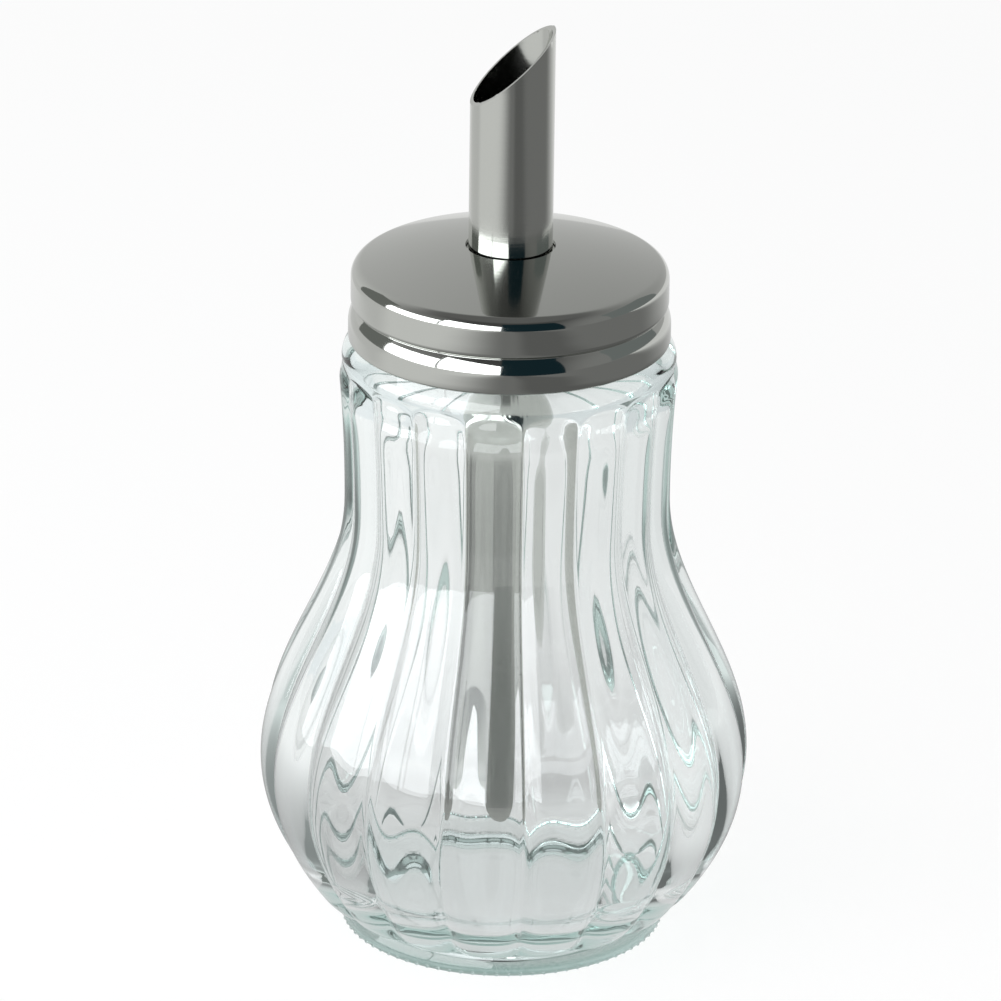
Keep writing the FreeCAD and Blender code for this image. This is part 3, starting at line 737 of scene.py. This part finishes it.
def studio_floor(studio):
    """Pale table: white to the camera apart from the object's soft shadow.

    Metal and glass see painted light and shade on it: bright towards the windows and behind, painted dim
    in front and to the right, with a painted shadow under the jar's foot. What shows through the glass is
    the bright part behind.
    """
    deselect_all()
    bpy.ops.mesh.primitive_plane_add(size=12, rotation=(0, 0, studio.azimuth))
    floor = bpy.context.object
    floor.name = "studio_floor"
    # Matt paper to the camera; what metal and glass see of it is a glow of painted light and shade.
    material, tree = new_material("white_paper_with_painted_light")
    place = add_node(tree, "ShaderNodeTexCoord").outputs["Object"]
    right, away, _ = add_node(tree, "ShaderNodeSeparateXYZ", {"Vector": place}).outputs
    reach = add_node(tree, "ShaderNodeVectorMath", {0: place}, operation="LENGTH").outputs["Value"]
    path = add_node(tree, "ShaderNodeLightPath").outputs
    through = path["Is Transmission Ray"]
    away = calc(tree, "MULTIPLY_ADD", through, 0.18, away)
    start = calc(tree, "MULTIPLY_ADD", through, 0.05, -0.24)
    # Painted shade: for metal and glass the glow is dimmed in front and to the right, with a painted darker band 7
    # to 16 cm to the right.
    dim = calc(tree, "MULTIPLY", ramp(tree, right, start, -0.01, 0, 1), ramp(tree, away, 0.07, 0.36, 1, 0))
    painted_dark_band = calc(tree, "MULTIPLY", ramp(tree, right, 0.01, 0.07, 0, 1), ramp(tree, right, 0.16, 0.24, 1, 0))
    dim = calc(tree, "MULTIPLY", dim, calc(tree, "MULTIPLY_ADD", painted_dark_band, 0.12, 1.0))
    dim = calc(tree, "MULTIPLY", dim, ramp(tree, reach, 0.025, 0.05, 0, 1))
    # Through the glass the painted dimming is lifted far out and to the right.
    beyond = calc(tree, "MAXIMUM", ramp(tree, reach, 0.18, 0.26, 0, 1), ramp(tree, right, 0.02, 0.06, 0, 1))
    dim = calc(tree, "MULTIPLY", dim, calc(tree, "SUBTRACT", 1.0, calc(tree, "MULTIPLY", through, beyond)))
    # Painted shade: darker to the left and behind, for metal only.
    edge = calc(tree, "MULTIPLY", ramp(tree, right, -0.26, -0.16, 1, 0), ramp(tree, away, 0.0, 0.1, 0, 1))
    edge = calc(tree, "MULTIPLY", edge, calc(tree, "SUBTRACT", 1.0, through))
    # Painted light: brighter to the left and further behind, only through the glass.
    left = calc(tree, "MULTIPLY", ramp(tree, right, -0.1, 0.0, 1, 0), ramp(tree, away, 0.15, 0.25, 0, 1))
    left = calc(tree, "MULTIPLY", left, through)
    # Painted light level that metal and glass see on the floor.
    painted_light = calc(tree, "MULTIPLY_ADD", dim, -0.63, 0.86)
    painted_light = calc(tree, "MULTIPLY_ADD", edge, -0.14, painted_light)
    painted_light = calc(tree, "MULTIPLY_ADD", left, 0.13, painted_light)
    # Painted shadow: the glow that metal and glass see is darker under the jar's foot, within 2 to 5 cm of its
    # middle.
    painted_light = calc(tree, "MULTIPLY", painted_light, ramp(tree, reach, 0.02, 0.05, 0.80, 1))
    seen = add_node(tree, "ShaderNodeMix", {0: path["Is Camera Ray"], 2: painted_light, 3: 1.0}).outputs[0]
    glow = add_node(tree, "ShaderNodeEmission", {"Strength": seen})
    matt = add_node(tree, "ShaderNodeBsdfDiffuse", {"Color": (0.9, 0.9, 0.9, 1)})
    bare = calc(tree, "MULTIPLY_ADD", path["Is Camera Ray"], -0.15, 1.0)
    mix = add_node(tree, "ShaderNodeMixShader", {0: bare, 1: matt.outputs["BSDF"], 2: glow.outputs["Emission"]})
    add_node(tree, "ShaderNodeOutputMaterial", {"Surface": mix.outputs["Shader"]})
    floor.data.materials.append(material)


def studio_world(studio):
    """White to the camera; metal sees a room with a pale wall behind and a dim ceiling and front.

    What shows through the glass is brighter, a little less so to the right, and slightly blue.
    """
    world = bpy.data.worlds.new("studio_world")
    bpy.context.scene.world = world
    world.use_nodes = True
    tree = world.node_tree
    tree.nodes.clear()
    place = add_node(tree, "ShaderNodeTexCoord").outputs["Generated"]
    turned = add_node(tree, "ShaderNodeMapping", {"Vector": place, "Rotation": (0, 0, -studio.azimuth)})
    right, away, up = add_node(tree, "ShaderNodeSeparateXYZ", {"Vector": turned.outputs["Vector"]}).outputs
    wall = calc(tree, "MULTIPLY_ADD", up, -0.21, 0.64)
    wall = calc(tree, "MULTIPLY_ADD", right, -0.20, wall)
    front = ramp(tree, calc(tree, "ABSOLUTE", right), 0.3, 0.9, 0.08, 0.28)
    behind = ramp(tree, away, -0.2, 0.6, 0, 1)
    room = add_node(tree, "ShaderNodeMix", {0: behind, 2: front, 3: wall}).outputs[0]
    room = add_node(tree, "ShaderNodeMix", {0: ramp(tree, up, 0.80, 0.93, 0, 1), 2: room, 3: 0.16}).outputs[0]
    clear = add_node(tree, "ShaderNodeMix", {
        0: ramp(tree, away, -0.5, 0.3, 0, 1), 2: 0.73, 3: ramp(tree, right, -0.2, 0.1, 0.95, 0.78)}).outputs[0]
    path = add_node(tree, "ShaderNodeLightPath").outputs
    seen = add_node(tree, "ShaderNodeMix", {0: path["Is Transmission Ray"], 2: room, 3: clear}).outputs[0]
    seen = add_node(tree, "ShaderNodeMix", {0: path["Is Camera Ray"], 2: seen, 3: 1.0}).outputs[0]
    cast = add_node(tree, "ShaderNodeMix", {
        0: path["Is Transmission Ray"], 6: (1, 1, 1, 1), 7: (0.955, 0.985, 1.0, 1)}, data_type="RGBA").outputs[2]
    glow = add_node(tree, "ShaderNodeBackground", {"Color": cast, "Strength": seen})
    add_node(tree, "ShaderNodeOutputWorld", {"Surface": glow.outputs["Background"]})


class DISPENSER_OT_studio(bpy.types.Operator):
    """Set up the floor, the lights, the cards and the camera"""
    bl_idname = "dispenser.studio"
    bl_label = "Studio"

    def execute(self, context):
        studio = context.scene.dispenser_studio
        set_camera(studio)
        studio_floor(studio)
        studio_world(studio)
        card("window_left", -55, -96, -52, 0.04, 0.56, 0.9, (4.2, 4.3, 4.4))
        card("window_right", -55, -50, -6, 0.05, 0.82, 0.9, (4.2, 4.3, 4.4))
        card("dark_card", 16, -6, 39, 0.0, 1.3, 1.0, (0.010, 0.026, 0.034))
        card("dim_left", -113, -130, -97, 0.02, 0.9, 1.0, (0.20, 0.21, 0.20), False)
        card("dim_right", 100, 75, 125, 0.10, 0.9, 1.0, (0.21, 0.23, 0.23), False)
        bpy.ops.object.light_add(type="AREA", location=(-0.5, -0.3, 1.6))
        lamp = context.object
        lamp.name = "overhead_softbox"
        lamp.data.size = 1.2
        lamp.data.energy = 18
        lamp.visible_glossy = False
        lamp.visible_transmission = False
        lamp.rotation_euler = (Vector((0, 0, 0)) - lamp.location).to_track_quat("-Z", "Y").to_euler()
        context.scene.view_settings.view_transform = "Standard"
        return {"FINISHED"}


class DISPENSER_PT_panel(bpy.types.Panel):
    """Sugar dispenser"""
    bl_idname = "DISPENSER_PT_panel"
    bl_label = "Sugar dispenser"
    bl_space_type = "VIEW_3D"
    bl_region_type = "UI"
    bl_category = "Dispenser"

    def draw(self, context):
        for operator in OPERATORS:
            self.layout.operator(operator.bl_idname)
        for name in GROUPS:
            box = self.layout.box()
            group = getattr(context.scene, name)
            for prop in group.__annotations__:
                box.prop(group, prop)


OPERATORS = (DISPENSER_OT_jar, DISPENSER_OT_stipples, DISPENSER_OT_lid, DISPENSER_OT_tube, DISPENSER_OT_studio)
GROUPS = {
    "dispenser_jar": JarSizes,
    "dispenser_steel": SteelSizes,
    "dispenser_finish": Finishes,
    "dispenser_studio": StudioSetup,
}


def register():
    for kind in (*GROUPS.values(), *OPERATORS, DISPENSER_PT_panel):
        bpy.utils.register_class(kind)
    for name, group in GROUPS.items():
        setattr(bpy.types.Scene, name, PointerProperty(type=group))


def unregister():
    for name in GROUPS:
        delattr(bpy.types.Scene, name)
    for kind in (DISPENSER_PT_panel, *OPERATORS[::-1], *list(GROUPS.values())[::-1]):
        bpy.utils.unregister_class(kind)


def main():
    register()
    bpy.ops.dispenser.jar()
    bpy.ops.dispenser.stipples()
    bpy.ops.dispenser.lid()
    bpy.ops.dispenser.tube()
    bpy.ops.dispenser.studio()


if __name__ == "__main__":
    main()
